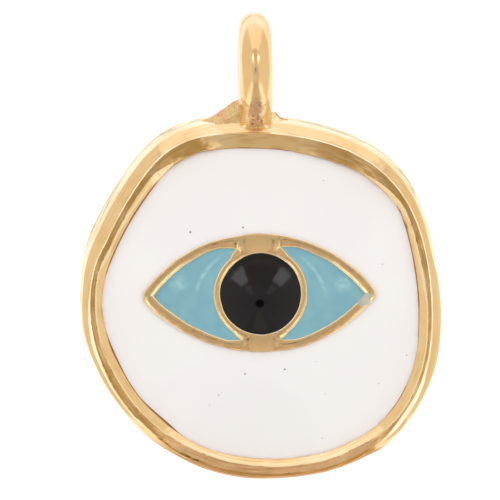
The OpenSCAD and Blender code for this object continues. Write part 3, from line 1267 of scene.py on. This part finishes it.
def makeSolder(name, solder, material):
    # a slab, cut fine, with an uneven top that falls off towards its free edge
    points = [Vector(p) for p in solder["outline"]]
    piece = stackRings(name, [atHeight(points, slab["low"]), atHeight(points, slab["high"])])
    endEdit(piece, 60)
    addModifier(piece, "REMESH", mode="VOXEL", voxel_size=slab["voxel"])
    addModifier(piece, "SMOOTH", iterations=slab["smoothing"])
    shade = piece.data.attributes.new("shade", "FLOAT", "POINT")
    start, way = Vector(solder["start"]), Vector(solder["way"]).normalized()
    for v in piece.data.vertices:
        p = v.co.copy()
        away = (p.xy - start).dot(way)
        p.z -= solder["slope"] * max(away, 0) * smoothStep(0.8, 1.7, p.z)
        grain = noise.noise_vector(p * 8) * solder["grain"]
        v.co = p + noise.noise_vector(p * 2.3) * 0.03 + grain
        off = min(((p.xy - Vector(spot)).length for spot in solder["darkEdge"]), default=1)
        # a painted highlight all over, and painted shade along the dark edge
        shade.data[v.index].value = 0.8 - 2.4 * smoothStep(0.09, 0.05, off)
    bpy.ops.object.shade_smooth_by_angle(angle=math.radians(60))
    finishPiece(piece, material, "gold_metal", "metal_body")


makeSolder("solder_web", web, webMaterial())
makeSolder("solder_fillet", fillet, goldPaint)
print("charm ready")


# The studio

tent = {
    "core": rgb(0.59, 0.575, 0.57),
    "sides": rgb(0.82, 0.79, 0.73),
    "front": rgb(0.62, 0.59, 0.505),
    "below": rgb(0.76, 0.56, 0.40),
    "line": rgb(0.38, 0.25, 0.18),
    "horizon": rgb(0.72, 0.79, 0.78),
    "strips": rgb(1.15, 1.18, 1.2),
    "flare": rgb(1.02, 0.98, 0.84),
    "edge": rgb(0.58, 0.52, 0.45),
    "card": rgb(1.06, 1.05, 1.08),
    "paper": rgb(1.2, 1.22, 1.42),
    "boxes": rgb(2.25, 2.22, 2.25),
    "smallBoxes": rgb(0.95, 0.93, 0.93),
    "under": rgb(0.77, 0.73, 0.67),
    "between": rgb(0.62, 0.52, 0.50),
    "camera": rgb(0, 0, 0),
    # Laid over each other in this order: the range of turn, the range of fall, how soft
    # the ends of each are, and the light. Turn 0 is the right side and 90 the top, the
    # same on the left, and fall is measured from the camera.
    "zones": [
        ((-200, 200), (107, 400), 2, 4, "paper"),
        ((-200, -58), (8, 400), 4, 6, "front"),
        ((-200, -54), (80, 400), 10, 2, "below"),
        ((-200, -54), (77, 84), 10, 1.5, "line"),
        ((-57, -35), (36, 100), 4, 6, "strips"),
        ((-52, -4), (96, 108), 5, 4, "flare"),
        ((52, 200), (36, 62), 2, 2.5, "edge"),
        ((56, 200), (42, 400), 2, 2, "card"),
        ((40, 200), (104, 400), 6, 4, "paper"),
        ((22, 84), (132, 139), 8, 2.5, "horizon"),
        ((60, 200), (14, 34), 4, 3, "between"),
        ((41, 63), (22.5, 34.5), 3, 2, "boxes"),
        ((43, 62), (10.5, 19), 3, 1.2, "smallBoxes"),
        ((-200, -72), (5, 24), 5, 2, "under"),
    ],
}

fillLamp = {
    "turn": 90,
    "fromAxis": 20,
    "size": 200,
    "distance": 300,
    "radiance": 1.6,
}


def makeCamera():
    lean = math.radians(studio["lean"])
    back = Vector((0, -math.sin(lean), math.cos(lean)))
    distance = studio["frame"] * studio["pixel"] * studio["lens"] / studio["sensor"]
    place = (studio["aim"] + back * distance) * mm
    bpy.ops.object.camera_add(location=place, rotation=(lean, 0, 0))
    camera = bpy.context.object
    camera.data.lens = studio["lens"]
    camera.data.sensor_width = studio["sensor"]
    camera.data.clip_start = 0.01
    camera.data.clip_end = 10
    bpy.context.scene.camera = camera


def makeFloor():
    deselectAll()
    bpy.ops.mesh.primitive_plane_add(size=3, location=(0, 0, 0))
    floor = bpy.context.object
    floor.name = "studio_floor"
    material, paint = newMaterial("studio paper", color=rgb(0.9, 0.9, 0.9), roughness=0.9)
    paint.give("Emission Color", rgb(1, 1, 1))
    paint.give("Emission Strength", 0.6)
    floor.data.materials.append(material)
    floor.visible_glossy = False


def makeWorld():
    # a light tent as the gloss sees it, drawn about the camera's axis
    world = bpy.data.worlds.new("studio")
    bpy.context.scene.world = world
    world.use_nodes = True
    paint = Painter(world.node_tree)
    leant = paint.node("ShaderNodeVectorRotate", rotation_type="X_AXIS")
    paint.put(leant.inputs["Vector"], paint.node("ShaderNodeTexCoord").outputs["Generated"])
    leant.inputs["Angle"].default_value = -math.radians(studio["lean"])
    apart = paint.node("ShaderNodeSeparateXYZ")
    paint.put(apart.inputs[0], leant.outputs[0])
    x, y, z = apart.outputs
    fall = paint.math("DEGREES", paint.math("ARCCOSINE", z))
    turn = paint.math("DEGREES", paint.math("ARCTAN2", y, paint.math("ABSOLUTE", x)))
    front = paint.mix(paint.ramp(fall, 25, 60), tent["core"], tent["front"])
    lights = dict(tent, front=front)
    colour = paint.mix(paint.ramp(fall, 6, 34), tent["core"], tent["sides"])
    for turns, falls, turnSoft, fallSoft, light in tent["zones"]:
        share = paint.times(
            paint.between(turn, *turns, turnSoft), paint.between(fall, *falls, fallSoft)
        )
        colour = paint.mix(share, colour, lights[light])
    # the camera itself, a dark dot in the pupil
    colour = paint.mix(paint.ramp(fall, 3.0, 3.8, 1.0, 0.0), colour, tent["camera"])
    back = world.node_tree.nodes["Background"]
    paint.put(back.inputs["Color"], colour)
    back.inputs["Strength"].default_value = 1


def makeLamp():
    # a large soft lamp beside the camera, which the gloss doesn't mirror
    turn, off = math.radians(fillLamp["turn"]), math.radians(fillLamp["fromAxis"])
    axis = Matrix.Rotation(math.radians(studio["lean"]), 3, "X")
    aim = Vector((math.sin(off) * math.cos(turn), math.sin(off) * math.sin(turn), math.cos(off)))
    aim = axis @ aim
    size = fillLamp["size"] * mm
    bpy.ops.object.light_add(
        type="AREA", location=aim * fillLamp["distance"] * mm,
        rotation=aim.to_track_quat("Z", "Y").to_euler(),
    )
    lamp = bpy.context.object
    lamp.name = "fill"
    lamp.data.shape = "SQUARE"
    lamp.data.size = size
    lamp.data.energy = fillLamp["radiance"] * math.pi * size * size
    lamp.visible_glossy = False
    lamp.visible_camera = False


makeCamera()
makeFloor()
makeWorld()
makeLamp()
bpy.context.scene.view_settings.view_transform = "Standard"
print("studio ready")
